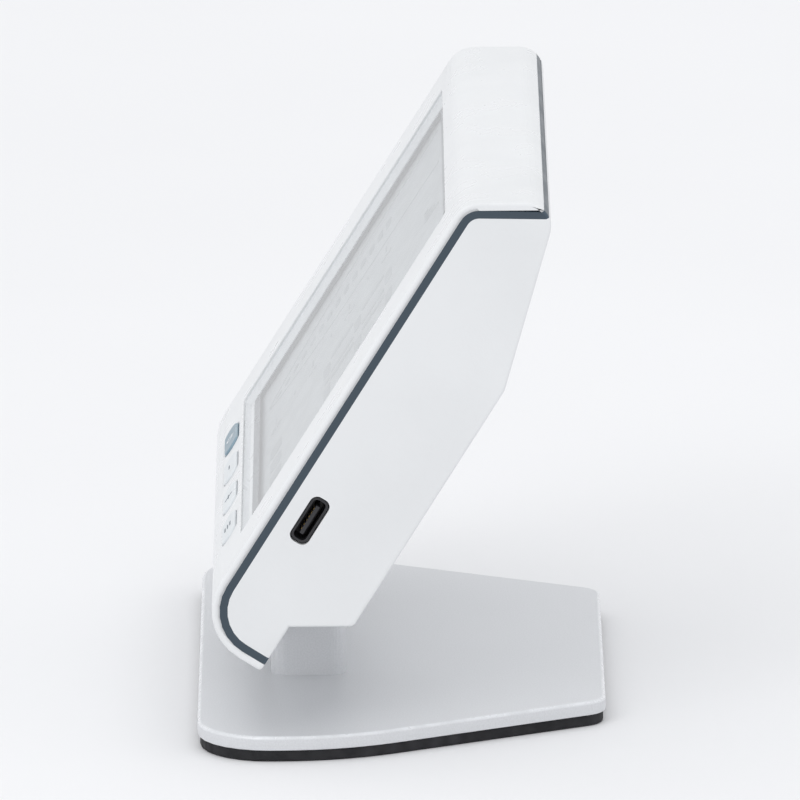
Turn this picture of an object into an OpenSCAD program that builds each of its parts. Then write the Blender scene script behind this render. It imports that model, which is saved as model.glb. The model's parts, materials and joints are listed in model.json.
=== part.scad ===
// Apex locator for the dental surgery: a tilting screen head on a flat metal desk plate.
// Millimetres, +Z up, the screen faces -Y. The origin is the centre of the plate's underside.

/* [Stand] */
// Depth of the base plate, front to back
plate_d = 62; // [60:1:66]
// Width of the base plate across its shoulders
plate_w = 111.6; // [108:0.4:120]
// Width of the plate's rear edge, measured to its unrounded corners
plate_rear_w = 69; // [66:1:80]
// Distance of the shoulders behind the plate's front edge
shoulder_back = 22; // [20:0.5:26]
// Thickness of the metal plate
plate_t = 2.2; // [2:0.1:3]
// Thickness of the rubber pad under the plate
pad_t = 1.8; // [1.5:0.1:2.2]
// Distance of the tilt axis behind the plate's front edge
hinge_back = 17.7; // [17:0.1:19]
// Height of the tilt axis above the plate
hinge_rise = 15.8; // [15:0.1:17]
// Width of the neck that carries the hinge
neck_w = 37; // [34:0.5:37]

/* [Head] */
// Width of the head
head_w = 110; // [110:1:118]
// Lean of the head away from upright, at rest
head_lean = 32.3; // [30:0.1:34]
// Length of the front face from its foot to its top edge
front_l = 77.5; // [77.5:0.5:80]
// Distance of the front face ahead of the tilt axis
front_ahead = 16.1; // [16.1:0.1:17]
// Distance of the back face behind the tilt axis
back_behind = 4.6; // [4.6:0.1:5]
// Distance of the foot below the tilt axis
foot_below = 9.2; // [9:0.1:9.4]
// Radius of the lower front edge
foot_r = 8.5; // [8:0.1:8.6]
// Radius of the upper front edge
brow_r = 4.5; // [3.5:0.1:5]
// Radius of the upper back edge
crest_r = 3.8; // [3:0.1:4]
// Height above the axis at which the back starts to slope forward
slope_from = 47; // [47:0.2:48]
// Angle of that slope
slope_angle = 16.2; // [15:0.1:17]
// Wall thickness of the rear housing
wall = 2; // [1.8:0.1:2]
// Depth of the front cover's lip, seen from the side
lip = 1.2; // [1:0.1:1.3]
// Width of the coloured band between cover and housing
band = 1.2; // [1:0.1:1.3]

/* [Screen and keys] */
// Width of the window
window_w = 87; // [84:0.5:88]
// Height of the window
window_h = 58.5; // [56:0.5:58.5]
// Border above the window
top_border = 5; // [5:0.1:5.5]
// Width of a key cap
key_w = 12; // [9:0.5:13]
// Height of a key cap
key_h = 3.6; // [3.2:0.1:3.6]
// Distance between key centres
key_pitch = 19; // [17:0.5:20]
// Travel of a key
key_travel = 0.5; // [0.3:0.05:0.5]

/* [Hinge] */
// Radius of the hinge pin
pin_r = 2; // [1.8:0.1:2]
// Furthest tilt towards upright
tilt_up = 25; // [15:1:25]
// Furthest tilt towards lying back
tilt_back = 30; // [20:1:30]

/* [Hidden] */

$fn = 48;
arc_steps = 7;
gap = 0.2;
cut = 1;

// Stand
plate_z = pad_t;
plate_top = pad_t + plate_t;
hinge_y = hinge_back - plate_d / 2;
hinge_z = plate_top + hinge_rise;
shoulder_y = shoulder_back - plate_d / 2;
plate_corners = [[-plate_w / 2, -plate_d / 2], [plate_w / 2, -plate_d / 2],
    [plate_w / 2, shoulder_y], [plate_rear_w / 2, plate_d / 2],
    [-plate_rear_w / 2, plate_d / 2], [-plate_w / 2, shoulder_y]];
plate_radii = [11, 11, 36, 4.5, 4.5, 36];
pad_inset = 0.4;
barrel_r = 4.9;
neck_front = 6.7;
neck_corner_r = 2.5;
neck_screw_x = 11;
neck_screw_y = hinge_y - (neck_front - barrel_r) / 2;
neck_screw_l = 11;
m3_r = 1.5;
m3_head_r = 2.75;
m3_head_h = 1.65;
drive_r = 0.9;

// Hinge, measured along X from the middle of the neck
washer_t = 1;
washer_r = 4;
knuckle_x = neck_w / 2 + washer_t + 0.1;
knuckle_w = 5;
knuckle_r = 4.4;
clip_x = knuckle_x + knuckle_w + 0.1;
clip_t = 0.8;
clip_r = 3.8;
pin_l = 2 * (clip_x + clip_t + 0.5);
running = 0.05;
notch_w = pin_l + 1.2;
notch_clear = 0.6;
notch_skin = 1.6;
leaf_t = 1.6;
leaf_d = -2.4;
leaf_foot_v = 8;
leaf_top_v = 18;
leaf_end_x = 40;
bracket_screw_x = [28, 36];
bracket_screw_v = 13;

// Outline of the head's side, as points [distance behind the axis, height along the slant]
rebate_ahead = 3.6;
rebate_v = -1.1;
lean_t = tan(head_lean);
slope_t = tan(slope_angle);
top_v = front_l - foot_below;
crest_d = (back_behind - (top_v + front_ahead * lean_t - slope_from) * slope_t) / (1 + lean_t * slope_t);
crest_v = top_v + (crest_d + front_ahead) * lean_t;
head_corners = [[-front_ahead, -foot_below], [-rebate_ahead, -foot_below], [-rebate_ahead, rebate_v],
    [back_behind, rebate_v + (back_behind + rebate_ahead) * lean_t], [back_behind, slope_from],
    [crest_d, crest_v], [-front_ahead, top_v]];
head_radii = [foot_r, 0.6, 0, 1, 3, crest_r, brow_r];
// Edge i of the outline runs from corner i to the next; 1 marks the edges that the cover forms
cover_edges = [1, 0, 0, 0, 0, 1, 1];
cover_t = 2.2;
cover_in = cover_t - front_ahead;
inner_w = head_w - 2 * wall;
back_in = back_behind - wall;

// Screen
window_v = top_v - top_border - window_h / 2;
lens_t = 1.2;
lens_sunk = 0.3;
ledge = 1;
lcd_w = 90;
lcd_h = window_h + 1;
lcd_t = 1.7;
backlight_t = 3.95;
board_d = cover_in + lcd_t + backlight_t;
board_t = 1.6;
board_w = 103;
board_foot_v = 6;
board_top_v = 67;
board_back = board_d + board_t;

// Keys
key_v = 1.6;
key_proud = 0.3;
key_flange = 0.6;
flange_t = 0.5;
key_gap = 0.25;
key_x = [for (i = [0:3]) (i - 1.5) * key_pitch];
key_seat = cover_in + 0.1;
switch_h = 1.8;
key_board_d = key_seat + flange_t + key_travel + 0.4 + switch_h;
key_board_t = 1;
key_board_w = 92;
key_board_h = 6.8;

// Battery bay, in the middle of the back
cell = [54, 6.2, 20];
bay_v = 34.05;
bay_w = 56;
bay_h = 21.1;
lid_w = 59.6;
lid_top_v = 46;
lid_foot_v = 19.5;
lid_t = 1.8;
lid_d = back_behind - lid_t;
rim_t = 1.4;
lid_screw_v = 21.5;

// Case screws, each [height, depth of the seat under its head]; the upper pair is in the slope
case_screws = [[24, -0.6], [57, -2.4]];
case_screw_x = 49.8;
case_post_r = 2.6;
case_floor = 2.4;
case_screw_l = 9;

// Sockets
port_v = 14.6;
charge_h = 7.5;
charge_t = 2.9;
charge_l = 5.2;
charge_sunk = 0.4;
charge_d = board_d - charge_t / 2;
jack_bore_r = 1.75;
jack_nose_r = 3;
jack_bore_l = 12;
jack_body_t = 6;
jack_d = board_back + jack_body_t / 2;

// Speaker
speaker_x = 39.5;
speaker_v = 32;
speaker_r = 7;
speaker_t = 4.5;
grille_r = 0.6;
grille_pitch = 2.2;

// ---------- Plane geometry ----------

function unit(p) = p / norm(p);

// Inward normal of the edge from a to b of an outline that runs anticlockwise
function inward(a, b) = let (e = unit(b - a)) [-e[1], e[0]];

// Corner b after the edges before and after it have moved inward by s and t
function moved_corner(a, b, c, s, t) =
    let (m = inward(a, b), n = inward(b, c), k = m[0] * n[1] - m[1] * n[0])
    b + [s * n[1] - t * m[1], t * m[0] - s * n[0]] / k;

// Outline pts with edge i moved inward by by[i]
function moved(pts, by) =
    let (n = len(pts))
    [for (i = [0:n - 1])
        let (before = (i + n - 1) % n)
        moved_corner(pts[before], pts[i], pts[(i + 1) % n], by[before], by[i])];

// Arc of radius r that rounds corner b between its neighbours a and c
function arc(a, b, c, r) =
    r <= 0 ? [b] :
    let (u = unit(a - b),
        w = unit(c - b),
        half = acos(u * w) / 2,
        centre = b + unit(u + w) * r / sin(half),
        from = b + u * r / tan(half) - centre,
        turn = (u[0] * w[1] - u[1] * w[0] > 0 ? -1 : 1) * (180 - 2 * half))
    [for (k = [0:arc_steps])
        let (q = turn * k / arc_steps)
        centre + [from[0] * cos(q) - from[1] * sin(q), from[0] * sin(q) + from[1] * cos(q)]];

function rounded(pts, r) =
    let (n = len(pts))
    [for (i = [0:n - 1]) each arc(pts[(i + n - 1) % n], pts[i], pts[(i + 1) % n], r[i])];

module rounded_rect(w, h, r) {
    polygon(rounded([[-w / 2, -h / 2], [w / 2, -h / 2], [w / 2, h / 2], [-w / 2, h / 2]], [r, r, r, r]));
}

// Bar with round ends
module pill(w, h) {
    square([w - h, h], center = true);
    for (s = [-1, 1]) translate([s * (w - h) / 2, 0]) circle(d = h);
}

// Side of the head, with the cover's edges moved in by cover_by and the housing's by back_by
module side(cover_by = 0, back_by = 0) {
    by = [for (c = cover_edges) c == 1 ? cover_by : back_by];
    n = len(by);
    radii = [for (i = [0:n - 1])
        by[i] == by[(i + n - 1) % n] ? max(head_radii[i] - by[i], 0) : 0];
    polygon(rounded(moved(head_corners, by), radii));
}

// ---------- Placing ----------

// Head frame: X across, Y back through the head, Z up the slant, origin on the tilt axis
module in_head() {
    translate([0, hinge_y, hinge_z]) rotate([-head_lean, 0, 0]) children();
}

// Extrudes a side outline across the head
module across(w) {
    rotate([90, 0, 90]) linear_extrude(w, center = true) children();
}

// Extrudes a front outline, centred on x and v, from depth d0 back to d1
module slab(d0, d1, x = 0, v = 0) {
    translate([x, d1, v]) rotate([90, 0, 0]) linear_extrude(d1 - d0) children();
}

module rod(r, d0, d1, x, v) {
    translate([x, d0, v]) rotate([-90, 0, 0]) cylinder(h = d1 - d0, r = r);
}

// Round bar along X from x0 to x1, on the tilt axis of the head frame
module axle(r, x0, x1) {
    translate([x0, 0, 0]) rotate([0, 90, 0]) cylinder(h = x1 - x0, r = r);
}

module at_hinge() {
    translate([0, hinge_y, hinge_z]) children();
}

module both_sides() {
    for (m = [0, 1]) mirror([m, 0, 0]) children();
}

// Pan-head screw driven from behind the head: seat depth, shank radius and length
module case_screw(x, v, seat, shank_r, shank_l, head_r = 2.1, head_h = 1.8) {
    difference() {
        union() {
            rod(shank_r, seat - shank_l, seat, x, v);
            rod(head_r, seat, seat + head_h, x, v);
        }
        slab(seat + head_h * 0.4, seat + head_h + cut, x, v) circle(r = drive_r, $fn = 6);
    }
}

// ---------- Stand ----------

module base_plate() {
    color("#c9cbd0") difference() {
        translate([0, 0, plate_z]) linear_extrude(plate_t) polygon(rounded(plate_corners, plate_radii));
        both_sides() translate([neck_screw_x, neck_screw_y, plate_z]) {
            cylinder(h = m3_head_h, r1 = m3_head_r + 0.1, r2 = m3_r + 0.1);
            translate([0, 0, -cut]) cylinder(h = plate_t + 2 * cut, r = m3_r + 0.1);
        }
    }
}

module base_pad() {
    inset = [for (c = plate_corners) pad_inset];
    color("#17181a") linear_extrude(pad_t)
        polygon(rounded(moved(plate_corners, inset), [for (r = plate_radii) r - pad_inset]));
}

module hinge_neck() {
    color("#cdd0d4") difference() {
        intersection() {
            at_hinge() across(neck_w) {
                circle(r = barrel_r);
                polygon([[-neck_front, -hinge_rise], [barrel_r, -hinge_rise], [barrel_r, 0], [-barrel_r, 0]]);
            }
            translate([0, hinge_y + (barrel_r - neck_front) / 2, 0]) linear_extrude(hinge_z + 2 * barrel_r)
                rounded_rect(neck_w, neck_front + barrel_r, neck_corner_r);
        }
        at_hinge() axle(pin_r, -neck_w, neck_w);
        both_sides() translate([neck_screw_x, neck_screw_y, plate_z]) cylinder(h = neck_screw_l, r = m3_r);
    }
}

module neck_screws() {
    color("silver") both_sides() translate([neck_screw_x, neck_screw_y, plate_z]) difference() {
        union() {
            cylinder(h = m3_head_h, r1 = m3_head_r, r2 = m3_r);
            cylinder(h = neck_screw_l, r = m3_r);
        }
        translate([0, 0, -cut]) cylinder(h = cut + m3_head_h * 0.6, r = drive_r, $fn = 6);
    }
}

module hinge_pin() {
    color("silver") at_hinge() axle(pin_r, -pin_l / 2, pin_l / 2);
}

module pin_ring(r, x, t) {
    at_hinge() both_sides() difference() {
        axle(r, x, x + t);
        axle(pin_r, x - cut, x + t + cut);
    }
}

module friction_washers() {
    color("dimgray") pin_ring(washer_r, neck_w / 2, washer_t);
}

module pin_clips() {
    color("dimgray") pin_ring(clip_r, clip_x, clip_t);
}

// ---------- Head shells ----------

// Space that the neck sweeps through the foot of the head, grown by extra
module notch(extra = 0) {
    front = neck_front + gap + extra;
    rear = barrel_r + notch_clear + extra;
    circle(r = rear);
    for (q = [head_lean - tilt_up, head_lean + tilt_back])
        rotate(q) translate([-front, -20]) square([front + rear, 20]);
}

module key_openings() {
    for (x = key_x)
        slab(-front_ahead - cut, cover_in + cut, x, key_v)
            pill(key_w + 2 * key_gap, key_h + 2 * key_gap);
}

module cover_posts() {
    both_sides() {
        for (s = case_screws) rod(case_post_r, cover_in - gap, s[1] - case_floor, case_screw_x, s[0]);
        rod(1.5, cover_in - gap, key_board_d, key_board_w / 2 - 3, key_v - 0.5);
    }
}

module front_cover() {
    color("#f6f7f8") in_head() difference() {
        union() {
            across(head_w) difference() {
                side();
                side(lip, -cut);
            }
            across(inner_w - 2 * gap) intersection() {
                difference() {
                    side(lip - 0.1);
                    side(cover_t, -cut);
                }
                side(0, wall + gap);
            }
            cover_posts();
        }
        slab(-front_ahead - cut, -front_ahead + lens_sunk + lens_t, 0, window_v)
            rounded_rect(window_w, window_h, 1);
        slab(-front_ahead, cover_in + cut, 0, window_v)
            rounded_rect(window_w - 2 * ledge, window_h - 2 * ledge, 0.6);
        key_openings();
        across(notch_w) notch();
        both_sides() for (s = case_screws)
            rod(1.1, s[1] - case_screw_l, s[1], case_screw_x, s[0]);
    }
}

module trim_band() {
    color("#4f5e68") in_head() difference() {
        across(head_w) intersection() {
            side();
            difference() {
                side(lip, -cut);
                side(lip + band, -2 * cut);
            }
        }
        across(inner_w) side(0, wall);
        across(notch_w) notch();
    }
}

// Bosses that stand on the inside of the housing's back
module housing_bosses() {
    both_sides() {
        for (s = case_screws) rod(3.1, s[1] - case_floor, back_in + gap - max(0, s[0] - slope_from) * slope_t,
            case_screw_x, s[0]);
        for (x = bracket_screw_x) rod(2.8, leaf_d + leaf_t, back_in + gap, x, bracket_screw_v);
        rod(2, board_back, back_in + gap, 38, 45);
    }
    rod(2.6, -2.5, lid_d, 0, lid_screw_v);
}

module battery_bay() {
    slab(-6.4, lid_d, 0, bay_v) rounded_rect(bay_w + 3, bay_h + 3, 1);
    slab(lid_d - rim_t, lid_d, 0, (lid_top_v + lid_foot_v) / 2)
        rounded_rect(lid_w + 3.4, lid_top_v - lid_foot_v + 1, 1);
}

module speaker_grille() {
    for (ring = [0:2])
        let (holes = max(6 * ring, 1))
        for (k = [0:holes - 1])
            let (q = 360 * k / holes, r = ring * grille_pitch)
            rod(grille_r, back_in - cut, back_behind + cut, speaker_x + r * cos(q), speaker_v + r * sin(q));
}

module rear_housing() {
    color("#eceeef") in_head() difference() {
        union() {
            difference() {
                across(head_w) intersection() {
                    side();
                    side(lip + band, -cut);
                }
                across(inner_w) side(0, wall);
            }
            across(notch_w + 2 * notch_skin) intersection() {
                side(cover_t + gap, wall / 2);
                notch(notch_skin);
            }
            housing_bosses();
            battery_bay();
        }
        across(notch_w) notch();
        // Battery space and the recess of its lid
        slab(-5.6, lid_d + cut, 0, bay_v) rounded_rect(bay_w, bay_h, 0.8);
        slab(lid_d, back_behind + cut, 0, (lid_top_v + lid_foot_v) / 2)
            rounded_rect(lid_w + 0.4, lid_top_v - lid_foot_v + 0.4, 2);
        rod(1.1, -2, lid_d + cut, 0, lid_screw_v);
        both_sides() {
            for (s = case_screws) {
                rod(1.3, s[1] - case_floor - cut, s[1] + cut, case_screw_x, s[0]);
                rod(2.4, s[1], back_behind + cut, case_screw_x, s[0]);
            }
            for (x = bracket_screw_x) rod(1.2, leaf_d, 1.2, x, bracket_screw_v);
            // Slot where a hinge leaf enters
            translate([knuckle_x - gap, leaf_d - gap, 0])
                cube([knuckle_w + 2 * gap, leaf_t + 2 * gap, leaf_foot_v + 2]);
        }
        // Socket openings in the two sides
        translate([head_w / 2, charge_d, port_v]) across(3 * wall) rotate(90)
            rounded_rect(charge_h + 0.4, charge_t + 0.3, 1.2);
        translate([-head_w / 2, jack_d, port_v]) axle(jack_nose_r + 0.1, -wall - cut, wall + cut);
        speaker_grille();
    }
}

// ---------- Screen ----------

module screen_lens() {
    color([0.55, 0.58, 0.6, 0.5]) in_head()
        slab(-front_ahead + lens_sunk, -front_ahead + lens_sunk + lens_t, 0, window_v)
            rounded_rect(window_w - gap, window_h - gap, 0.9);
}

module lcd_panel() {
    color("#b4bcc0") in_head()
        slab(cover_in, cover_in + lcd_t, 0, window_v) square([lcd_w, lcd_h], center = true);
}

module backlight() {
    color("#e4e6e6") in_head()
        slab(cover_in + lcd_t, board_d, 0, window_v) rounded_rect(lcd_w, lcd_h, 1.5);
}

// ---------- Electronics ----------

module main_board() {
    color("#1f6b45") in_head() difference() {
        slab(board_d, board_back, 0, (board_foot_v + board_top_v) / 2)
            rounded_rect(board_w, board_top_v - board_foot_v, 1.5);
        both_sides() for (s = case_screws)
            rod(case_post_r + 0.3, board_d - cut, board_back + cut, case_screw_x, s[0]);
    }
}

// One package of the given width, height and thickness on the back of the board
module chip(x, v, w, h, t) {
    slab(board_back, board_back + t, x, v) square([w, h], center = true);
}

module board_chips() {
    color("#26282b") in_head() {
        chip(0, 54, 10, 10, 1.4);
        chip(-20, 54, 7, 5, 1.2);
        chip(20, 54, 7, 5, 1.2);
        chip(-38, 30, 5, 6, 1.2);
        slab(board_d - 1.4, board_d, 0, board_top_v - 1.4) square([26, 1.8], center = true);
    }
}

module display_ribbon() {
    lcd_top = window_v + lcd_h / 2;
    d0 = cover_in + 0.8;
    color("#b9822f") in_head() across(22) polygon([[d0, lcd_top], [d0 + 0.2, lcd_top],
        [d0 + 0.2, board_top_v - 1.5], [board_d - 1.4, board_top_v - 1.5],
        [board_d - 1.4, board_top_v - 1.3], [d0, board_top_v - 1.3]]);
}

module key_board() {
    color("#1f6b45") in_head() slab(key_board_d, key_board_d + key_board_t, 0, key_v - 1)
        rounded_rect(key_board_w, key_board_h, 0.8);
}

module key_switches() {
    color("#303338") in_head() for (x = key_x) {
        slab(key_board_d - switch_h, key_board_d, x, key_v) square([4.4, 3.6], center = true);
        rod(1, key_board_d - switch_h - 0.3, key_board_d - switch_h, x, key_v);
    }
}

module battery() {
    color("#3e74b8") in_head() slab(-5.5, -5.5 + cell[1], 0, bay_v) rounded_rect(cell[0], cell[2], 2);
}

module battery_cover() {
    color("#eceeef") in_head() difference() {
        slab(lid_d, back_behind, 0, (lid_top_v + lid_foot_v) / 2)
            rounded_rect(lid_w, lid_top_v - lid_foot_v, 1.8);
        rod(1.3, lid_d - cut, back_behind + cut, 0, lid_screw_v);
        rod(2.2, back_behind - 1, back_behind + cut, 0, lid_screw_v);
    }
}

module battery_cover_screw() {
    color("silver") in_head() case_screw(0, lid_screw_v, back_behind - 1, 1.1, 5, 2, 0.9);
}

module speaker() {
    color("#2b2d31") in_head() difference() {
        rod(speaker_r, back_in - speaker_t, back_in, speaker_x, speaker_v);
        rod(speaker_r - 1.2, back_in - 0.8, back_in + cut, speaker_x, speaker_v);
    }
}

module charge_socket() {
    mouth = head_w / 2 - charge_sunk;
    color("#2a2c2f") in_head() translate([mouth - charge_l / 2, charge_d, port_v]) {
        difference() {
            across(charge_l) rotate(90) rounded_rect(charge_h, charge_t, 1);
            translate([1, 0, 0]) across(charge_l) rotate(90)
                rounded_rect(charge_h - 0.8, charge_t - 0.8, 0.7);
        }
        cube([charge_l, 0.6, charge_h - 2.6], center = true);
    }
}

module lead_socket() {
    mouth = -head_w / 2;
    body_x = mouth + wall + 0.1;
    color("#2a2c2f") in_head() translate([0, jack_d, port_v]) difference() {
        union() {
            axle(jack_nose_r, mouth, body_x + cut);
            translate([body_x, -jack_body_t / 2, -jack_body_t / 2])
                cube([jack_bore_l - 1, jack_body_t, jack_body_t]);
        }
        axle(jack_bore_r, mouth - cut, mouth + jack_bore_l);
    }
}

// ---------- Hinge pieces on the head ----------

// Steel bracket of the right-hand side: a knuckle on the pin and a leaf screwed to the housing
module hinge_bracket() {
    in_head() difference() {
        union() {
            axle(knuckle_r, knuckle_x, knuckle_x + knuckle_w);
            translate([knuckle_x, leaf_d, 0]) cube([knuckle_w, leaf_t, leaf_top_v]);
            translate([knuckle_x, leaf_d, leaf_foot_v])
                cube([leaf_end_x - knuckle_x, leaf_t, leaf_top_v - leaf_foot_v]);
        }
        axle(pin_r + running, knuckle_x - cut, knuckle_x + knuckle_w + cut);
        for (x = bracket_screw_x) rod(1.3, leaf_d - cut, leaf_d + leaf_t + cut, x, bracket_screw_v);
    }
}

module hinge_bracket_right() {
    color("#9aa0a6") hinge_bracket();
}

module hinge_bracket_left() {
    color("#9aa0a6") mirror([1, 0, 0]) hinge_bracket();
}

module bracket_screws() {
    color("silver") in_head() both_sides() for (x = bracket_screw_x) {
        rod(1.2, leaf_d, 1.2, x, bracket_screw_v);
        rod(2.2, leaf_d - 1.5, leaf_d, x, bracket_screw_v);
    }
}

module housing_screws() {
    color("silver") in_head() both_sides() for (s = case_screws)
        case_screw(case_screw_x, s[0], s[1], 1.1, case_screw_l);
}

// ---------- Keys ----------

module key(i) {
    in_head() {
        slab(-front_ahead - key_proud, key_seat, key_x[i], key_v) pill(key_w, key_h);
        slab(key_seat, key_seat + flange_t, key_x[i], key_v)
            pill(key_w + 2 * key_flange, key_h + 2 * key_flange);
    }
}

module power_key() {
    color("#8fa3ad") key(0);
}

module minus_key() {
    color("#dfe3e5") key(1);
}

module plus_key() {
    color("#dfe3e5") key(2);
}

module menu_key() {
    color("#dfe3e5") key(3);
}

base_plate();
base_pad();
hinge_neck();
neck_screws();
hinge_pin();
friction_washers();
pin_clips();
front_cover();
trim_band();
rear_housing();
screen_lens();
lcd_panel();
backlight();
main_board();
board_chips();
display_ribbon();
key_board();
key_switches();
battery();
battery_cover();
battery_cover_screw();
speaker();
charge_socket();
lead_socket();
hinge_bracket_left();
hinge_bracket_right();
bracket_screws();
housing_screws();
power_key();
minus_key();
plus_key();
menu_key();
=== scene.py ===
import json
import math

import bmesh
import bpy
from mathutils import Matrix, Vector
from mathutils.bvhtree import BVHTree

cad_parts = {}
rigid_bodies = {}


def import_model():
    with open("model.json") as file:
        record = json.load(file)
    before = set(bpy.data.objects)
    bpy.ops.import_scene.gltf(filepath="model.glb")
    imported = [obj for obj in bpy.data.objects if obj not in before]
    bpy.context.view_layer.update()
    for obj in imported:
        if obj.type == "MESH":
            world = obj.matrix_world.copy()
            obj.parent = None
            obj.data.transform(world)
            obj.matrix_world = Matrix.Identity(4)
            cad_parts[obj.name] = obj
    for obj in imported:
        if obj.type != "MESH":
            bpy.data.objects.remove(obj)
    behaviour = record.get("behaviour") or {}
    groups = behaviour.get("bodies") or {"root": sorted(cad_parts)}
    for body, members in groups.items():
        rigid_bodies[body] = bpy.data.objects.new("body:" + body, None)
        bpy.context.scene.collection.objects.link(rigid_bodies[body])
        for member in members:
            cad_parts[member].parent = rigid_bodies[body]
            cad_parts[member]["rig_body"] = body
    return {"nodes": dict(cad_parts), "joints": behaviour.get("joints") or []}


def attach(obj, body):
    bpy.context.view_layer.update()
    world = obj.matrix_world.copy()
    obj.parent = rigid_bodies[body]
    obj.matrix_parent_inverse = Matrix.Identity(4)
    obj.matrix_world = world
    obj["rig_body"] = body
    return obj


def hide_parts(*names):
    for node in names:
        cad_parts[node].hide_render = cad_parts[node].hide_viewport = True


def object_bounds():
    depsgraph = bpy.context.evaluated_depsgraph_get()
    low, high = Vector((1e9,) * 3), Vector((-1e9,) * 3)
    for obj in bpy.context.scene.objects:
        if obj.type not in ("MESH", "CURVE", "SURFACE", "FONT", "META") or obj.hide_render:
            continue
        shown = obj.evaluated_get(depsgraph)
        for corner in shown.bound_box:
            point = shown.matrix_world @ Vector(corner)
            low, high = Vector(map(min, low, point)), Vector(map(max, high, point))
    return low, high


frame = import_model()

cad_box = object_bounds()

# ---------- Frame ----------

MM = 0.001
joints = {j["name"]: j for j in frame["joints"]}
hinge = Vector(joints["head_tilt"]["pos_m"])
key_axis = Vector(joints["power_press"]["axis"])
lean = math.atan2(-key_axis.z, key_axis.y)

# Millimetre frames of the two main bodies. The stand's is the row frame. In the head's, x runs across,
# y back through the head and z up its slant, and the origin is on the tilt axis.
STAND = Matrix.Scale(MM, 4)
HEAD = Matrix.Translation(hinge) @ Matrix.Rotation(-lean, 4, "X") @ STAND


def body_of(node):
    return frame["nodes"][node]["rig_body"]


def frame_of(body):
    return STAND if body == "stand" else HEAD


def local_box(node):
    """Lowest and highest corner of a CAD node in its body's millimetre frame."""
    inverse = frame_of(body_of(node)).inverted()
    points = [inverse @ v.co for v in frame["nodes"][node].data.vertices]
    return (Vector([min(p[i] for p in points) for i in range(3)]),
            Vector([max(p[i] for p in points) for i in range(3)]))


SHELLS = ("front_cover", "trim_band", "rear_housing")
lens_low, lens_high = local_box("screen_lens")
lcd_front = local_box("lcd_panel")[0].y
half_w = local_box("front_cover")[1].x

# ---------- Material nodes ----------


def add(tree, kind, settings=None, **inputs):
    """Adds a node. An input is a value or a socket, under the socket's name with _ for a space."""
    node = tree.nodes.new(kind)
    for key, value in (settings or {}).items():
        setattr(node, key, value)
    for key, value in inputs.items():
        feed(tree, node.inputs[key.replace("_", " ")], value)
    return node


def feed(tree, socket, value):
    if isinstance(value, bpy.types.NodeSocket):
        tree.links.new(value, socket)
    else:
        socket.default_value = value


def new_tree(name):
    material = bpy.data.materials.new(name)
    material.use_nodes = True
    material.node_tree.nodes.clear()
    return material, material.node_tree


def place(tree, stretch=(1, 1, 1), turn=(0, 0, 0)):
    """The piece's own coordinates, turned and stretched."""
    coords = add(tree, "ShaderNodeTexCoord").outputs["Object"]
    return add(tree, "ShaderNodeMapping", Vector=coords, Scale=stretch, Rotation=turn).outputs["Vector"]


def noise(tree, size, at, detail=3.0):
    """Noise with features of about size millimetres."""
    return add(tree, "ShaderNodeTexNoise", Vector=at, Scale=1 / (size * MM), Detail=detail).outputs["Fac"]


def spread(tree, value, low, high):
    """Maps the middle of a noise to the range low to high."""
    return add(tree, "ShaderNodeMapRange", Value=value, From_Min=0.35, From_Max=0.65,
               To_Min=low, To_Max=high).outputs["Result"]


def maths(tree, operation, first, second):
    node = add(tree, "ShaderNodeMath", {"operation": operation})
    feed(tree, node.inputs[0], first)
    feed(tree, node.inputs[1], second)
    return node.outputs[0]


def blend_colour(tree, share, first, second):
    mix = add(tree, "ShaderNodeMix", {"data_type": "RGBA"})
    feed(tree, mix.inputs[0], share)
    feed(tree, mix.inputs[6], first)
    feed(tree, mix.inputs[7], second)
    return mix.outputs[2]


def shade(colour, by):
    return tuple(min(c * by, 1.0) for c in colour[:3]) + (1.0,)


def edge_wear_and_highlight(tree, at):
    """How rubbed and how lit a point is: the rounded edges, broken up by noise. Shaders lighten it as wear
    and as a painted highlight.
    """
    edge = add(tree, "ShaderNodeAttribute", {"attribute_name": "edge"}).outputs["Fac"]
    return maths(tree, "MULTIPLY", edge, spread(tree, noise(tree, 3, at), 0.15, 0.9))


def close(tree, colour, roughness, height, depth, **fixed):
    """Principled surface with a bump of depth millimetres. Fixed values stay on its sockets."""
    normal = add(tree, "ShaderNodeBump", Height=height, Distance=depth * MM).outputs["Normal"]
    surface = add(tree, "ShaderNodeBsdfPrincipled", Base_Color=colour, Roughness=roughness,
                  Normal=normal, **fixed)
    add(tree, "ShaderNodeOutputMaterial", Surface=surface.outputs["BSDF"])


# ---------- Materials ----------


def moulded(name, colour, roughness=0.4, grain=0.3, depth=0.01, mottle=0.02, wear_and_highlight=1.04, **fixed):
    """Moulded plastic: spark-eroded grain, faint mottle, edges rubbed smoother and lighter, the lighter
    tone partly wear and partly a painted highlight.
    """
    material, tree = new_tree(name)
    at = place(tree)
    rubbed_and_lit = edge_wear_and_highlight(tree, at)
    flow = spread(tree, noise(tree, 26, at), 0, 1)
    body = blend_colour(tree, flow, shade(colour, 1 - mottle), shade(colour, 1 + mottle))
    # Rounded edges made lighter: partly wear, partly a painted highlight.
    tint = blend_colour(tree, rubbed_and_lit, body, shade(colour, wear_and_highlight))
    sheen = spread(tree, noise(tree, 7, at), roughness - 0.04, roughness + 0.05)
    gloss = maths(tree, "SUBTRACT", sheen, maths(tree, "MULTIPLY", rubbed_and_lit, 0.1))
    close(tree, tint, gloss, noise(tree, grain, at, 2.0), depth, **fixed)
    return material


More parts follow.
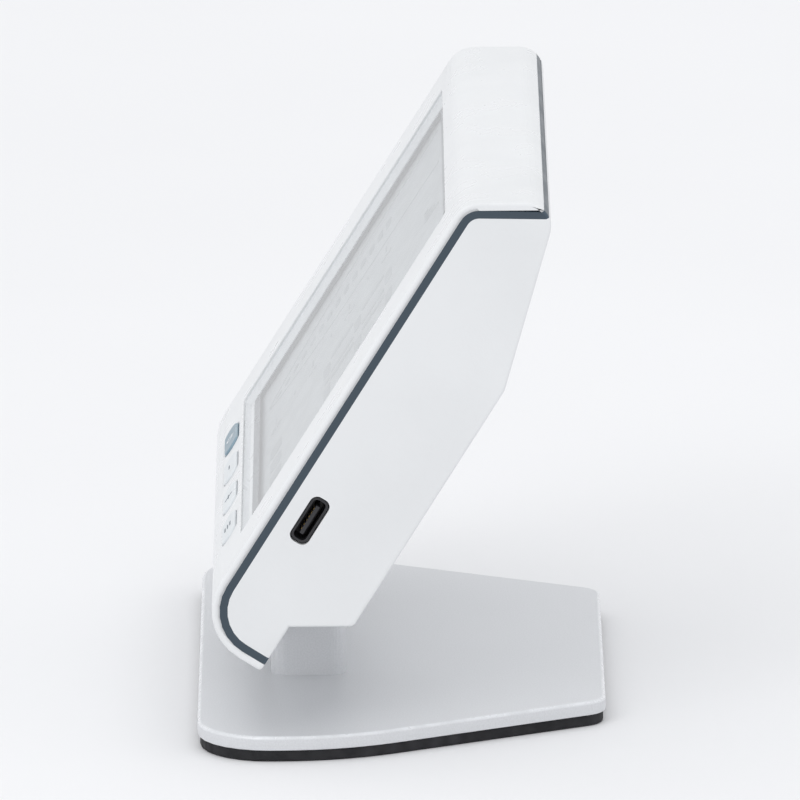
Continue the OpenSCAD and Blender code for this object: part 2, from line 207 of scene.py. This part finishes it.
def powder_paint(name, colour):
    """Satin powder coat on metal: orange peel over fine specks, edges polished by handling and lighter,
    partly wear and partly a painted highlight.
    """
    material, tree = new_tree(name)
    at = place(tree)
    rubbed_and_lit = edge_wear_and_highlight(tree, at)
    specks = spread(tree, noise(tree, 0.25, at, 1.0), 0, 1)
    body = blend_colour(tree, specks, shade(colour, 0.97), shade(colour, 1.03))
    # Rounded edges 1.2 times lighter: partly paint worn through, partly a painted highlight.
    tint = blend_colour(tree, rubbed_and_lit, body, shade(colour, 1.2))
    sheen = spread(tree, noise(tree, 30, at), 0.33, 0.36)
    gloss = maths(tree, "SUBTRACT", sheen, maths(tree, "MULTIPLY", rubbed_and_lit, 0.12))
    peel = maths(tree, "ADD", noise(tree, 0.9, at, 2.0), maths(tree, "MULTIPLY", specks, 0.2))
    close(tree, tint, gloss, peel, 0.016, Metallic=0.1)
    return material


def rubber_sheet(name, colour):
    """Matt rubber with fine moulded ribs, dust in their bottoms and edges lighter, partly scuffs and partly
    a painted highlight.
    """
    material, tree = new_tree(name)
    at = place(tree)
    ribs = add(tree, "ShaderNodeTexWave", Vector=at, Scale=190, Distortion=0.4).outputs["Fac"]
    hollows = maths(tree, "SUBTRACT", 1.0, ribs)
    dust = maths(tree, "MULTIPLY", spread(tree, noise(tree, 9, at), 0, 0.5), hollows)
    # Edges lighter: partly scuffs, partly a painted highlight. Dust in the hollows is lighter too.
    tint = blend_colour(tree, maths(tree, "ADD", dust, maths(tree, "MULTIPLY", edge_wear_and_highlight(tree, at), 0.4)),
                        colour, shade(colour, 3.2))
    close(tree, tint, spread(tree, noise(tree, 2, at), 0.72, 0.88), ribs, 0.06)
    return material


def turned_metal(name, colour, roughness=0.28, stretch=(0.06, 1, 1)):
    """Bright metal with fine drawn lines along the stretched axis, and duller patches."""
    material, tree = new_tree(name)
    lines = noise(tree, 0.12, place(tree, stretch), 2.0)
    patches = noise(tree, 2.5, place(tree))
    tint = blend_colour(tree, spread(tree, patches, 0, 1), shade(colour, 0.9), shade(colour, 1.08))
    close(tree, tint, spread(tree, lines, roughness - 0.08, roughness + 0.1), lines, 0.004, Metallic=1.0)
    return material


def solder_mask(name, colour):
    """Board: glossy lacquer over straight copper runs, with the glass weave faint beneath."""
    material, tree = new_tree(name)
    at = place(tree)
    turned = place(tree, turn=(math.pi / 2, 0, 0))
    runs = add(tree, "ShaderNodeTexBrick", Vector=turned, Scale=1.0, Brick_Width=0.011, Row_Height=0.0016,
               Mortar_Size=0.0003, Color1=(0, 0, 0, 1), Color2=(0, 0, 0, 1),
               Mortar=(1, 1, 1, 1)).outputs["Color"]
    weave = noise(tree, 0.5, at, 1.0)
    body = blend_colour(tree, spread(tree, weave, 0, 1), shade(colour, 0.9), shade(colour, 1.1))
    tint = blend_colour(tree, runs, body, shade(colour, 1.7))
    close(tree, tint, spread(tree, weave, 0.25, 0.35), runs, 0.03)
    return material


def display_film(name, colour):
    """Grey liquid-crystal film, switched off: faint columns under a satin polariser."""
    material, tree = new_tree(name)
    at = place(tree)
    columns = add(tree, "ShaderNodeTexWave", Vector=at, Scale=700, Distortion=0.0).outputs["Fac"]
    cloud = spread(tree, noise(tree, 30, at), 0, 1)
    body = blend_colour(tree, cloud, shade(colour, 0.95), shade(colour, 1.05))
    tint = blend_colour(tree, maths(tree, "MULTIPLY", columns, 0.3), body, shade(colour, 0.93))
    close(tree, tint, spread(tree, noise(tree, 4, at), 0.3, 0.42), columns, 0.002)
    return material


def ink(name, colour, roughness=0.45):
    """Screen-printed ink: slightly uneven in tone and height."""
    return moulded(name, colour, roughness, grain=0.15, depth=0.004, mottle=0.06, wear_and_highlight=1.0)


def clear_sheet(name, tint):
    """Clear acrylic: what is behind shows through its tint, under a sharp reflection."""
    material, tree = new_tree(name)
    smears = spread(tree, noise(tree, 18, place(tree)), 0.02, 0.06)
    through = add(tree, "ShaderNodeBsdfTransparent", Color=tint)
    gloss = add(tree, "ShaderNodeBsdfGlossy", Color=(1, 1, 1, 1), Roughness=smears)
    entering = maths(tree, "SUBTRACT", 1.0, add(tree, "ShaderNodeNewGeometry").outputs["Backfacing"])
    share = maths(tree, "MULTIPLY", add(tree, "ShaderNodeFresnel", IOR=1.49).outputs["Fac"], entering)
    mix = add(tree, "ShaderNodeMixShader", Fac=share)
    tree.links.new(through.outputs[0], mix.inputs[1])
    tree.links.new(gloss.outputs[0], mix.inputs[2])
    add(tree, "ShaderNodeOutputMaterial", Surface=mix.outputs[0])
    return material


def cloth(name, colour):
    """Fine woven gauze."""
    material, tree = new_tree(name)
    warp = add(tree, "ShaderNodeTexWave", Vector=place(tree), Scale=900).outputs["Fac"]
    weft = add(tree, "ShaderNodeTexWave", {"bands_direction": "Z"}, Vector=place(tree),
               Scale=900).outputs["Fac"]
    weave = maths(tree, "MAXIMUM", warp, weft)
    tint = blend_colour(tree, weave, shade(colour, 0.4), colour)
    close(tree, tint, spread(tree, weave, 0.7, 0.9), weave, 0.05)
    return material


WHITE = (0.76, 0.77, 0.78, 1)
HOUSING = (0.745, 0.755, 0.765, 1)
STEEL = (0.56, 0.57, 0.58, 1)
GREEN = (0.02, 0.16, 0.08, 1)
KEY_GREY = (0.7, 0.73, 0.75, 1)

# Edge factors above one make rounded edges lighter: partly wear, partly a painted highlight.
white_plastic = moulded("white_plastic", WHITE, roughness=0.3)
housing_plastic = moulded("housing_plastic", HOUSING, roughness=0.42, grain=0.4, depth=0.014)
band_plastic = moulded("band_plastic", (0.035, 0.055, 0.075, 1), roughness=0.36, wear_and_highlight=1.4)
plate_paint = powder_paint("plate_paint", (0.66, 0.67, 0.69, 1))
pad_rubber = rubber_sheet("pad_rubber", (0.01, 0.01, 0.012, 1))
steel = turned_metal("steel", STEEL)
dark_steel = turned_metal("dark_steel", (0.16, 0.165, 0.17, 1), roughness=0.4, stretch=(1, 1, 1))
gold = turned_metal("gold_contact", (0.83, 0.6, 0.24, 1), roughness=0.22)
circuit_board = solder_mask("circuit_board", GREEN)
dark_plastic = moulded("dark_plastic", (0.018, 0.018, 0.021, 1), roughness=0.45, wear_and_highlight=2.2)
display_grey = display_film("display_grey", (0.42, 0.433, 0.437, 1))
diffuser = moulded("diffuser", (0.8, 0.81, 0.8, 1), roughness=0.5)
ribbon_film = moulded("ribbon_film", (0.45, 0.22, 0.03, 1), roughness=0.25, grain=1.2)
battery_wrap = moulded("battery_wrap", (0.05, 0.17, 0.45, 1), roughness=0.3, grain=1.5)
power_blue = moulded("power_blue", (0.2, 0.29, 0.35, 1), roughness=0.35, wear_and_highlight=1.15)
key_plastic = moulded("key_plastic", KEY_GREY, roughness=0.35)
# Dark print round the window, also a painted shade for the window's recess.
border_ink_and_shade = ink("border_ink_and_shade", (0.045, 0.055, 0.065, 1), 0.3)
icon_ink = ink("icon_ink", (0.09, 0.12, 0.15, 1))
icon_white = ink("icon_white", (0.8, 0.82, 0.84, 1))
segment_ink = ink("segment_ink", (0.3, 0.313, 0.32, 1), 0.35)
gauze = cloth("speaker_gauze", (0.03, 0.03, 0.034, 1))
lens_sheet = clear_sheet("lens_sheet", (0.965, 0.975, 0.98, 1))

# ---------- Meshes ----------


def cleaned(node):
    """The CAD node's shape in its body's millimetre frame, welded."""
    shape = bmesh.new()
    shape.from_mesh(frame["nodes"][node].data)
    shape.transform(frame_of(body_of(node)).inverted())
    bmesh.ops.remove_doubles(shape, verts=shape.verts[:], dist=1e-3)
    bmesh.ops.recalc_face_normals(shape, faces=shape.faces[:])
    return shape


def anything(face):
    return True


def miter(normals):
    """Vector that moves both of a corner's walls by one along their normals."""
    first = normals[0]
    second = min(normals, key=first.dot)
    return (first + second) / (1 + first.dot(second)) if first.dot(second) > -0.5 else first * 0


def in_order(parts):
    """Each part once, in the order first met. A set of mesh parts has another order in each run."""
    return list(dict.fromkeys(parts))


def refill(shape, axis, level):
    """Triangulates the flat ends at a level afresh, after their outline has moved."""
    ends = [f for f in shape.faces if f.normal.dot(axis) > 0.999
            and all(abs(v.co.dot(axis) - level) < 5e-3 for v in f.verts)]
    held = set(ends)
    outline = in_order(e for f in ends for e in f.edges if sum(g in held for g in e.link_faces) == 1)
    bmesh.ops.delete(shape, geom=ends, context="FACES_ONLY")
    bmesh.ops.triangle_fill(shape, use_beauty=True, use_dissolve=False, edges=outline, normal=axis)
    drop_loose(shape)
    bmesh.ops.recalc_face_normals(shape, faces=shape.faces[:])


def drop_loose(shape):
    bmesh.ops.delete(shape, geom=[e for e in shape.edges if not e.link_faces], context="EDGES")
    bmesh.ops.delete(shape, geom=[v for v in shape.verts if not v.link_edges], context="VERTS")


def soften(shape, axis, radius, chosen=anything, furthest=False, steps=4):
    """Rounds the edges between flat ends that face axis, or only the furthest, and their chosen walls."""
    axis = Vector(axis)
    levels = {}
    for end in shape.faces:
        if end.normal.dot(axis) > 0.999:
            for edge in end.edges:
                for wall in edge.link_faces:
                    if abs(wall.normal.dot(axis)) < 0.1 and edge.is_convex and chosen(wall):
                        level = round(edge.verts[0].co.dot(axis), 2)
                        levels.setdefault(level, {})[edge] = wall.normal.copy()
    for level in [max(levels)] if furthest else list(levels):
        rim = levels[level]
        soften_level(shape, axis, level, radius, rim, steps)
    for face in shape.faces:
        face.material_index = 0


def soften_level(shape, axis, level, radius, rim, steps):
    """Rebuilds the band of wall below each rim edge as a rounded one. rim holds each edge's wall normal."""
    wear_and_highlight = shape.verts.layers.float.get("edge") or shape.verts.layers.float.new("edge")
    turns = [math.pi / 2 * k / steps for k in range(steps + 1)]
    depths = [radius * (1 - math.cos(t)) for t in turns]
    for face in shape.faces:
        face.material_index = 0
    for edge, normal in rim.items():
        for vert in edge.verts:
            for face in vert.link_faces:
                if face.normal.dot(normal) > 0.9999:
                    face.material_index = 1
    for depth in depths[1:]:
        walls = [f for f in shape.faces if f.material_index == 1]
        parts = walls + in_order(e for f in walls for e in f.edges)
        parts += in_order(v for f in walls for v in f.verts)
        bmesh.ops.bisect_plane(shape, geom=parts, dist=1e-5, plane_co=axis * (level - depth), plane_no=axis)
    strip = [f for f in shape.faces if f.material_index == 1
             and all(-1e-3 < level - v.co.dot(axis) < radius + 1e-3 for v in f.verts)]
    cut = in_order(v for f in strip for v in f.verts)
    rows = [[v for v in cut if abs(level - depth - v.co.dot(axis)) < 1e-3] for depth in depths]
    columns, around = {}, {}
    for edge, normal in rim.items():
        for vert in edge.verts:
            around.setdefault(vert, []).append(normal)
            columns[vert] = [min(row, key=lambda v: (v.co - vert.co + axis * depth).length, default=None)
                             for row, depth in zip(rows, depths)]
    for vert, column in columns.items():
        if any(c is None or (c.co - vert.co + axis * depth).length > 5e-3
               for c, depth in zip(column, depths)):
            return
    bands = [between(columns[edge.verts[0]][-1], columns[edge.verts[1]][-1], rows[-1]) for edge in rim]
    bmesh.ops.delete(shape, geom=strip, context="FACES_ONLY")
    for vert, column in columns.items():
        step = miter(around[vert])
        for made, turn in zip(column, turns):
            made.co -= step * radius * (1 - math.sin(turn))
        # Marks the middle rows of the rounded band for the shaders' lighter edges: partly wear, partly a
        # painted highlight.
        for made in column[1:-1]:
            made[wear_and_highlight] = 1.0
    for edge, extra in zip(rim, bands):
        first, second = columns[edge.verts[0]], columns[edge.verts[1]]
        for k in range(steps):
            inner = extra if k == steps - 1 else []
            shape.faces.new([first[k], second[k], second[k + 1]] + inner[::-1] + [first[k + 1]])
    drop_loose(shape)
    bmesh.ops.recalc_face_normals(shape, faces=shape.faces[:])
    refill(shape, axis, level)


def between(first, second, row):
    """Vertices of the row on the straight line from first to second, in order."""
    along = second.co - first.co
    found = []
    for vert in row:
        share = (vert.co - first.co).dot(along) / along.length_squared
        off = (vert.co - first.co - along * share).length
        if vert not in (first, second) and 0 < share < 1 and off < 1e-3:
            found.append((share, vert))
    return [vert for _, vert in sorted(found, key=lambda item: item[0])]


def piece(shape, name, body, material, slot=None, stands_for=()):
    """Makes an object of a shape in its body's millimetre frame, with smooth faces and weighted normals."""
    shape.transform(frame_of(body))
    bmesh.ops.recalc_face_normals(shape, faces=shape.faces[:])
    mesh = bpy.data.meshes.new(name)
    shape.to_mesh(mesh)
    shape.free()
    mesh.materials.append(material)
    mesh.shade_smooth()
    mesh.set_sharp_from_angle(angle=math.radians(24))
    made = bpy.data.objects.new(name, mesh)
    bpy.context.scene.collection.objects.link(made)
    made.modifiers.new("weigh", "WEIGHTED_NORMAL").keep_sharp = True
    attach(made, body)
    if stands_for:
        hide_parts(*stands_for)
    return made


def refined(node, name, material, slot, rounding):
    """Piece that takes a CAD node's place: its shape, softened by (axes, radius, which walls) in turn."""
    shape = cleaned(node)
    for axes, radius, chosen in rounding:
        for axis in axes:
            soften(shape, axis, radius, chosen, furthest=node in SHELLS and axes is SIDES)
    return piece(shape, name, body_of(node), material, slot, (node,))


def prism(shape, outline, front, rear):
    """Adds a flat plate of the outline, points (x, z), from y front to y rear."""
    near = [shape.verts.new((x, front, z)) for x, z in outline]
    far = [shape.verts.new((x, rear, z)) for x, z in outline]
    shape.faces.new(near)
    shape.faces.new(far[::-1])
    for i in range(len(near)):
        j = (i + 1) % len(near)
        shape.faces.new((near[i], far[i], far[j], near[j]))


def bar(shape, x, z, width, height, front, rear):
    """Adds a flat bar with softened corners, centred on (x, z)."""
    w, h, c = width / 2, height / 2, min(width, height) * 0.25
    prism(shape, [(x - w, z - h + c), (x - w + c, z - h), (x + w - c, z - h), (x + w, z - h + c),
                  (x + w, z + h - c), (x + w - c, z + h), (x - w + c, z + h), (x - w, z + h - c)],
          front, rear)


def stroke(shape, points, width, front, rear):
    """Adds a line of even width through the points."""
    left, right = [], []
    for i, point in enumerate(points):
        before = Vector(points[max(i - 1, 0)])
        after = Vector(points[min(i + 1, len(points) - 1)])
        along = (after - before).normalized() * width / 2
        left.append((point[0] - along.y, point[1] + along.x))
        right.append((point[0] + along.y, point[1] - along.x))
    prism(shape, left + right[::-1], front, rear)


def arc_points(x, z, radius, start, end, steps=24):
    angles = [math.radians(start + (end - start) * i / steps) for i in range(steps + 1)]
    return [(x + radius * math.cos(a), z + radius * math.sin(a)) for a in angles]


def lathe(shape, profile, centre, axis, steps=48):
    """Adds a closed ring or knob: profile points (radius, distance along the axis), turned round it."""
    turn = Vector((0, 0, 1)).rotation_difference(Vector(axis)).to_matrix()
    rings = []
    for radius, along in profile:
        rings.append([shape.verts.new(Vector(centre) + turn @ Vector(
            (radius * math.cos(math.tau * k / steps), radius * math.sin(math.tau * k / steps), along)))
            for k in range(steps)])
    for first, second in zip(rings, rings[1:] + rings[:1]):
        for k in range(steps):
            j = (k + 1) % steps
            shape.faces.new((first[k], first[j], second[j], second[k]))


# ---------- Directions, and the walls to soften ----------

# Radii of rounded edges, in millimetres
SHELL_R, MOUTH_R, KEY_R, PLATE_R, METAL_R, FINE_R = 0.5, 0.25, 0.35, 0.55, 0.3, 0.12

SIDES = ((1, 0, 0), (-1, 0, 0))
FRONT = ((0, -1, 0),)
REAR = ((0, 1, 0),)
TOP = ((0, 0, 1),)
FOOT = ((0, 0, -1),)


def outline_of(node):
    """Chooser of a shell's walls on the head's outline: not its joints with other shells or sockets."""
    shells = [(BVHTree.FromBMesh(cleaned(n)), 0.12) for n in SHELLS if n != node]
    sockets = [(BVHTree.FromBMesh(cleaned(n)), 0.5) for n in ("charge_socket", "lead_socket")]

    def chosen(face):
        middle = face.calc_center_median()
        return (max(abs(v.co.x) for v in face.verts) > half_w - 0.1
                and all(tree.find_nearest(middle)[3] > least for tree, least in shells + sockets))

    return chosen


def well_inside(face):
    """A wall that is clear of the head's outline."""
    return all(abs(v.co.x) < half_w - 3 for v in face.verts)


# ---------- Stand ----------


def stand():
    refined("base_plate", "base_plate_body", plate_paint, "plate_metal",
            [(TOP, PLATE_R, anything), (FOOT, 0.25, anything)])
    refined("base_pad", "base_pad_body", pad_rubber, "pad_rubber",
            [(TOP, 0.2, anything), (FOOT, 0.4, anything)])
    refined("hinge_neck", "hinge_neck_body", plate_paint, "plate_metal", [(SIDES, METAL_R, anything)])
    refined("hinge_pin", "hinge_pin_rod", steel, "steel", [(SIDES, 0.35, anything)])
    refined("friction_washers", "friction_washer_rings", dark_steel, "steel", [(SIDES, 0.1, anything)])
    refined("pin_clips", "pin_clip_rings", dark_steel, "steel", [(SIDES, 0.12, anything)])
    refined("neck_screws", "neck_screw_pair", steel, "steel", [(TOP, 0.15, anything)])


# ---------- Head ----------


def shells():
    refined("front_cover", "front_cover_shell", white_plastic, "white_plastic",
            [(SIDES, SHELL_R, outline_of("front_cover")), (FRONT, MOUTH_R, well_inside)])
    refined("trim_band", "trim_band_ring", band_plastic, "band_plastic",
            [(SIDES, SHELL_R, outline_of("trim_band"))])
    refined("rear_housing", "rear_housing_shell", housing_plastic, "housing_plastic",
            [(SIDES, SHELL_R, outline_of("rear_housing")), (REAR, 0.15, well_inside)])
    refined("battery_cover", "battery_cover_door", housing_plastic, "housing_plastic",
            [(REAR, 0.2, anything)])
    grip = bmesh.new()
    low, high = local_box("battery_cover")
    rib_pitch, rib_w, rib_h, ribs = 1.5, 14, 0.7, 4
    first_rib, sunk, proud = 2.4, 0.1, 0.25
    for i in range(ribs):
        bar(grip, 0, high.z - first_rib - i * rib_pitch, rib_w, rib_h, high.y - sunk, high.y + proud)
    bmesh.ops.recalc_face_normals(grip, faces=grip.faces[:])
    soften(grip, (0, 1, 0), FINE_R)
    piece(grip, "battery_cover_grip", "head", housing_plastic, "housing_plastic")


def screws():
    for node, name in (("housing_screws", "housing_screw_set"), ("bracket_screws", "bracket_screw_set"),
                       ("battery_cover_screw", "battery_door_screw")):
        refined(node, name, steel, "steel", [(REAR + FRONT + SIDES, 0.1, anything)])


def window():
    refined("screen_lens", "window_lens", lens_sheet, "lens", [(FRONT, FINE_R, anything)])
    # Dark printed border behind the lens, also standing in for the shade in the window's recess: partly
    # print, partly painted shade.
    mask = bmesh.new()
    border, corner, thick, margin = 2.4, 1.0, 0.05, 0.2
    outer_w, outer_h = (lens_high.x - lens_low.x) / 2 - margin, (lens_high.z - lens_low.z) / 2 - margin
    mid = (lens_high.z + lens_low.z) / 2
    rear = lens_high.y + 0.01
    loops = []
    for w, h, r in ((outer_w, outer_h, corner), (outer_w - border, outer_h - border, corner * 0.6)):
        points = []
        for sx, sz, start in ((1, 1, 0), (-1, 1, 90), (-1, -1, 180), (1, -1, 270)):
            points += arc_points(sx * (w - r), mid + sz * (h - r), r, start, start + 90, 6)
        loops.append(points)
    rings = [[mask.verts.new((x, y, z)) for x, z in points] for points, y in
             ((loops[0], rear), (loops[1], rear), (loops[1], rear + thick), (loops[0], rear + thick))]
    for first, second in zip(rings, rings[1:] + rings[:1]):
        for i in range(len(first)):
            j = (i + 1) % len(first)
            mask.faces.new((first[i], first[j], second[j], second[i]))
    piece(mask, "lens_mask_and_shade", "head", border_ink_and_shade, "display")


SEVEN = {"0": "abcdef", "1": "bc", "2": "abged", "3": "abgcd", "8": "abcdefg"}


def digit(shape, x, z, height, figure, front, rear):
    """Adds a seven-segment figure whose lower left corner is at (x, z)."""
    width, line = height * 0.52, height * 0.11
    half = height / 2
    places = {"a": (width / 2, height, 1), "g": (width / 2, half, 1), "d": (width / 2, 0, 1),
              "f": (0, half * 1.5, 0), "b": (width, half * 1.5, 0), "e": (0, half * 0.5, 0),
              "c": (width, half * 0.5, 0)}
    for letter in SEVEN[figure]:
        px, pz, level = places[letter]
        long = (width if level else half) - line * 1.25
        bar(shape, x + px, z + pz, long if level else line, line if level else long, front, rear)


def segments():
    """Faint segments of the switched-off display: a tooth with its depth scale, and a large reading."""
    made = bmesh.new()
    rear = lcd_front
    front = rear - 0.04
    low, high = lens_low.z + 4.5, lens_high.z - 4.5
    tall = high - low
    tooth_x, tooth_w = -26, 11
    crown = high - tall * 0.27
    # Outline of crown and root, as half widths that follow a cosine down to the tip
    steps = 28
    outline = []
    for i in range(steps + 1):
        t = i / steps
        half = tooth_w * (1 - 0.16 * math.sin(math.pi * t)) if t < 0.3 else tooth_w * 0.87 * (
            math.cos((t - 0.3) / 0.7 * math.pi / 2) ** 0.6)
        outline.append((half, high - t * tall))
    for sign in (-1, 1):
        stroke(made, [(tooth_x + sign * max(half, 0.35), z) for half, z in outline], 0.5, front, rear)
    for cusp in (-1, 1):
        stroke(made, arc_points(tooth_x + cusp * tooth_w / 2, high - 0.6, tooth_w / 2, 150 - 30 * cusp - 90,
                                90 + 30 - 30 * cusp, 10), 0.5, front, rear)
    # Depth bars in the canal, narrower towards the tip
    bars = 14
    for i in range(bars):
        z = crown - (i + 0.5) * (crown - low - 1.5) / bars
        bar(made, tooth_x, z, 4.6 - 3.2 * i / bars, 1.5, front, rear)
    # Scale beside the root
    scale_x, marks = tooth_x + tooth_w + 4, 7
    for i in range(marks):
        z = low + 2 + i * (crown - low - 4) / (marks - 1)
        bar(made, scale_x, z, 3.4 if i % 2 == 0 else 1.8, 0.4, front, rear)
        if i % 2 == 0:
            digit(made, scale_x + 3.4, z - 1.3, 2.6, "0123"[i // 2], front, rear)
    # Reading and its point
    big = tall * 0.36
    for k, x in enumerate((4, 4 + big * 0.75)):
        digit(made, x, low + tall * 0.34, big, "8", front, rear)
    bar(made, 4 + big * 0.645, low + tall * 0.34, 1.5, 1.5, front, rear)
    # Battery and loudness marks above the reading
    left, right = 30, 37
    stroke(made, [(left, high - 4), (right, high - 4), (right, high), (left, high), (left, high - 3.6)],
           0.45, front, rear)
    bar(made, right + 1, high - 2, 1, 1.8, front, rear)
    for i in range(3):
        bar(made, 31.6 + 2 * i, high - 2, 1.3, 2.6, front, rear)
    for i in range(4):
        bar(made, 6 + 2 * i, high - 3.8 + 0.5 * i, 1.2, 1 + i, front, rear)
    # Row of programme boxes along the foot
    for i in range(4):
        bar(made, 7 + 8.5 * i, low + 2, 6.4, 3.2, front, rear)
    piece(made, "display_segments", "head", segment_ink, "display")


def keys():
    for node in ("power_key", "minus_key", "plus_key", "menu_key"):
        power = node == "power_key"
        material, slot = (power_blue, "power_key") if power else (key_plastic, "key_plastic")
        refined(node, node + "_cap", material, slot, [(FRONT, KEY_R, anything)])
        low, high = local_box(node)
        x, z = (low.x + high.x) / 2, (low.z + high.z) / 2
        front, rear = low.y - 0.03, low.y + 0.03
        icon = bmesh.new()
        size, line = 1.0, 0.28
        if power:
            stroke(icon, arc_points(x, z, size * 0.85, 125, 415), line, front, rear)
            bar(icon, x, z + size * 0.6, line, size * 1.1, front, rear)
        elif node == "menu_key":
            for i in (-1, 0, 1):
                bar(icon, x, z + i * size * 0.7, size * 2.2, line, front, rear)
        else:
            bar(icon, x, z, size * 2, line, front, rear)
            if node == "plus_key":
                bar(icon, x, z + size * 0.57, line, size * 0.86, front, rear)
                bar(icon, x, z - size * 0.57, line, size * 0.86, front, rear)
        piece(icon, node + "_icon", node, icon_white if power else icon_ink)


def sockets():
    refined("charge_socket", "charge_socket_shell", dark_plastic, "dark_plastic", [(SIDES, 0.1, anything)])
    low, high = local_box("charge_socket")
    mid_y, mid_z = (low.y + high.y) / 2, (low.z + high.z) / 2
    pins = bmesh.new()
    pitch, long, wide, thick, tongue = 0.7, 2.4, 0.35, 0.04, 0.3
    tip, row = high.x - 0.5, 6
    for side in (-1, 1):
        for i in range(row):
            z = mid_z + (i - (row - 1) / 2) * pitch
            y = mid_y + side * (tongue + thick / 2)
            bmesh.ops.create_cube(pins, size=1, matrix=Matrix.Translation((tip - long / 2, y, z))
                                  @ Matrix.Diagonal((long, thick, wide, 1)))
    piece(pins, "charge_socket_contacts", "head", gold)
    refined("lead_socket", "lead_socket_body", dark_plastic, "dark_plastic", [(SIDES, FINE_R, anything)])
    low, high = local_box("lead_socket")
    ring = bmesh.new()
    bore, nose, proud = 1.75, 2.9, 0.3
    mid = (low.x, (low.y + high.y) / 2, (low.z + high.z) / 2)
    lathe(ring, [(bore + 0.12, -0.6), (nose - 0.1, -0.6), (nose, -0.5), (nose, proud - 0.12),
                 (nose - 0.15, proud), (bore + 0.35, proud), (bore + 0.12, proud - 0.2)], mid, (-1, 0, 0))
    piece(ring, "lead_socket_ring", "head", steel, "steel")


def hinge_parts():
    for side in ("left", "right"):
        refined("hinge_bracket_" + side, "hinge_bracket_" + side + "_plate", steel, "steel",
                [(SIDES, 0.2, anything)])


def speaker():
    refined("speaker", "speaker_capsule", dark_plastic, "dark_plastic", [(REAR, FINE_R, anything)])
    low, high = local_box("speaker")
    disc = bmesh.new()
    centre = ((low.x + high.x) / 2, high.y - 0.45, (low.z + high.z) / 2)
    radius = (high.x - low.x) / 2 - 1.3
    lathe(disc, [(0.01, 0), (radius, 0), (radius, 0.2), (radius * 0.6, 0.3), (0.01, 0.32)],
          centre, (0, 1, 0))
    piece(disc, "speaker_gauze_disc", "head", gauze)


def inside():
    """Inner pieces keep their CAD meshes and take their finishes."""
    for node, material, slot in (
            ("lcd_panel", display_grey, "display"), ("backlight", diffuser, "white_plastic"),
            ("main_board", circuit_board, "circuit_board"), ("key_board", circuit_board, "circuit_board"),
            ("board_chips", dark_plastic, "dark_plastic"), ("key_switches", dark_plastic, "dark_plastic"),
            ("display_ribbon", ribbon_film, "ribbon"), ("battery", battery_wrap, "battery_wrap")):
        held = frame["nodes"][node]
        held.data.materials.clear()
        held.data.materials.append(material)


# ---------- Stage, light and camera ----------


def look_at(location, target):
    return (Vector(target) - Vector(location)).to_track_quat("-Z", "Y")


def area_light(name, location, target, size, power, colour=(1, 1, 1)):
    data = bpy.data.lights.new(name, "AREA")
    data.shape = "RECTANGLE"
    data.size, data.size_y = size
    data.energy = power
    data.color = colour
    light = bpy.data.objects.new(name, data)
    bpy.context.scene.collection.objects.link(light)
    light.location = location
    light.rotation_mode = "QUATERNION"
    light.rotation_quaternion = look_at(location, target)
    light.visible_camera = False


def studio():
    half = 6.0
    mesh = bpy.data.meshes.new("floor")
    corners = [(-half, -half, 0), (half, -half, 0), (half, half, 0), (-half, half, 0)]
    mesh.from_pydata(corners, [], [(0, 1, 2, 3)])
    floor = bpy.data.objects.new("floor", mesh)
    bpy.context.scene.collection.objects.link(floor)
    paper, tree = new_tree("floor_paper")
    at = place(tree)
    cloud = spread(tree, noise(tree, 200, at), 0, 1)
    tone = blend_colour(tree, cloud, (0.85, 0.85, 0.86, 1), (0.87, 0.87, 0.88, 1))
    close(tree, tone, spread(tree, noise(tree, 3, at), 0.8, 0.9), noise(tree, 0.8, at), 0.02)
    mesh.materials.append(paper)
    world = bpy.data.worlds.new("studio")
    world.use_nodes = True
    sky = world.node_tree.nodes["Background"].inputs
    sky["Color"].default_value = (0.975, 0.985, 1, 1)
    sky["Strength"].default_value = 0.97
    bpy.context.scene.world = world
    area_light("key_light", (1.1, -0.8, 1.0), (0, 0, 0.04), (0.9, 0.9), 4)
    area_light("top_light", (0.1, 0.3, 1.4), (0, 0, 0.05), (1.2, 1.2), 1.5)


def camera():
    azimuth, elevation, roll = math.radians(89.93), math.radians(13.5), math.radians(-0.4)
    distance, focal = 2.58, 773.6
    aim = Vector((half_w * MM, 0, cad_box[1].z * 0.649))
    toward = Vector((math.sin(azimuth) * math.cos(elevation), -math.cos(azimuth) * math.cos(elevation),
                     math.sin(elevation)))
    data = bpy.data.cameras.new("camera")
    data.sensor_width = 36
    data.lens = focal
    data.clip_end = 50
    made = bpy.data.objects.new("camera", data)
    bpy.context.scene.collection.objects.link(made)
    made.rotation_mode = "QUATERNION"
    made.location = aim + toward * distance
    made.rotation_quaternion = look_at(made.location, aim) @ Matrix.Rotation(roll, 4, "Z").to_quaternion()
    bpy.context.scene.camera = made
    bpy.context.scene.view_settings.view_transform = "Standard"


stand()
shells()
screws()
window()
segments()
keys()
sockets()
hinge_parts()
speaker()
inside()
studio()
camera()
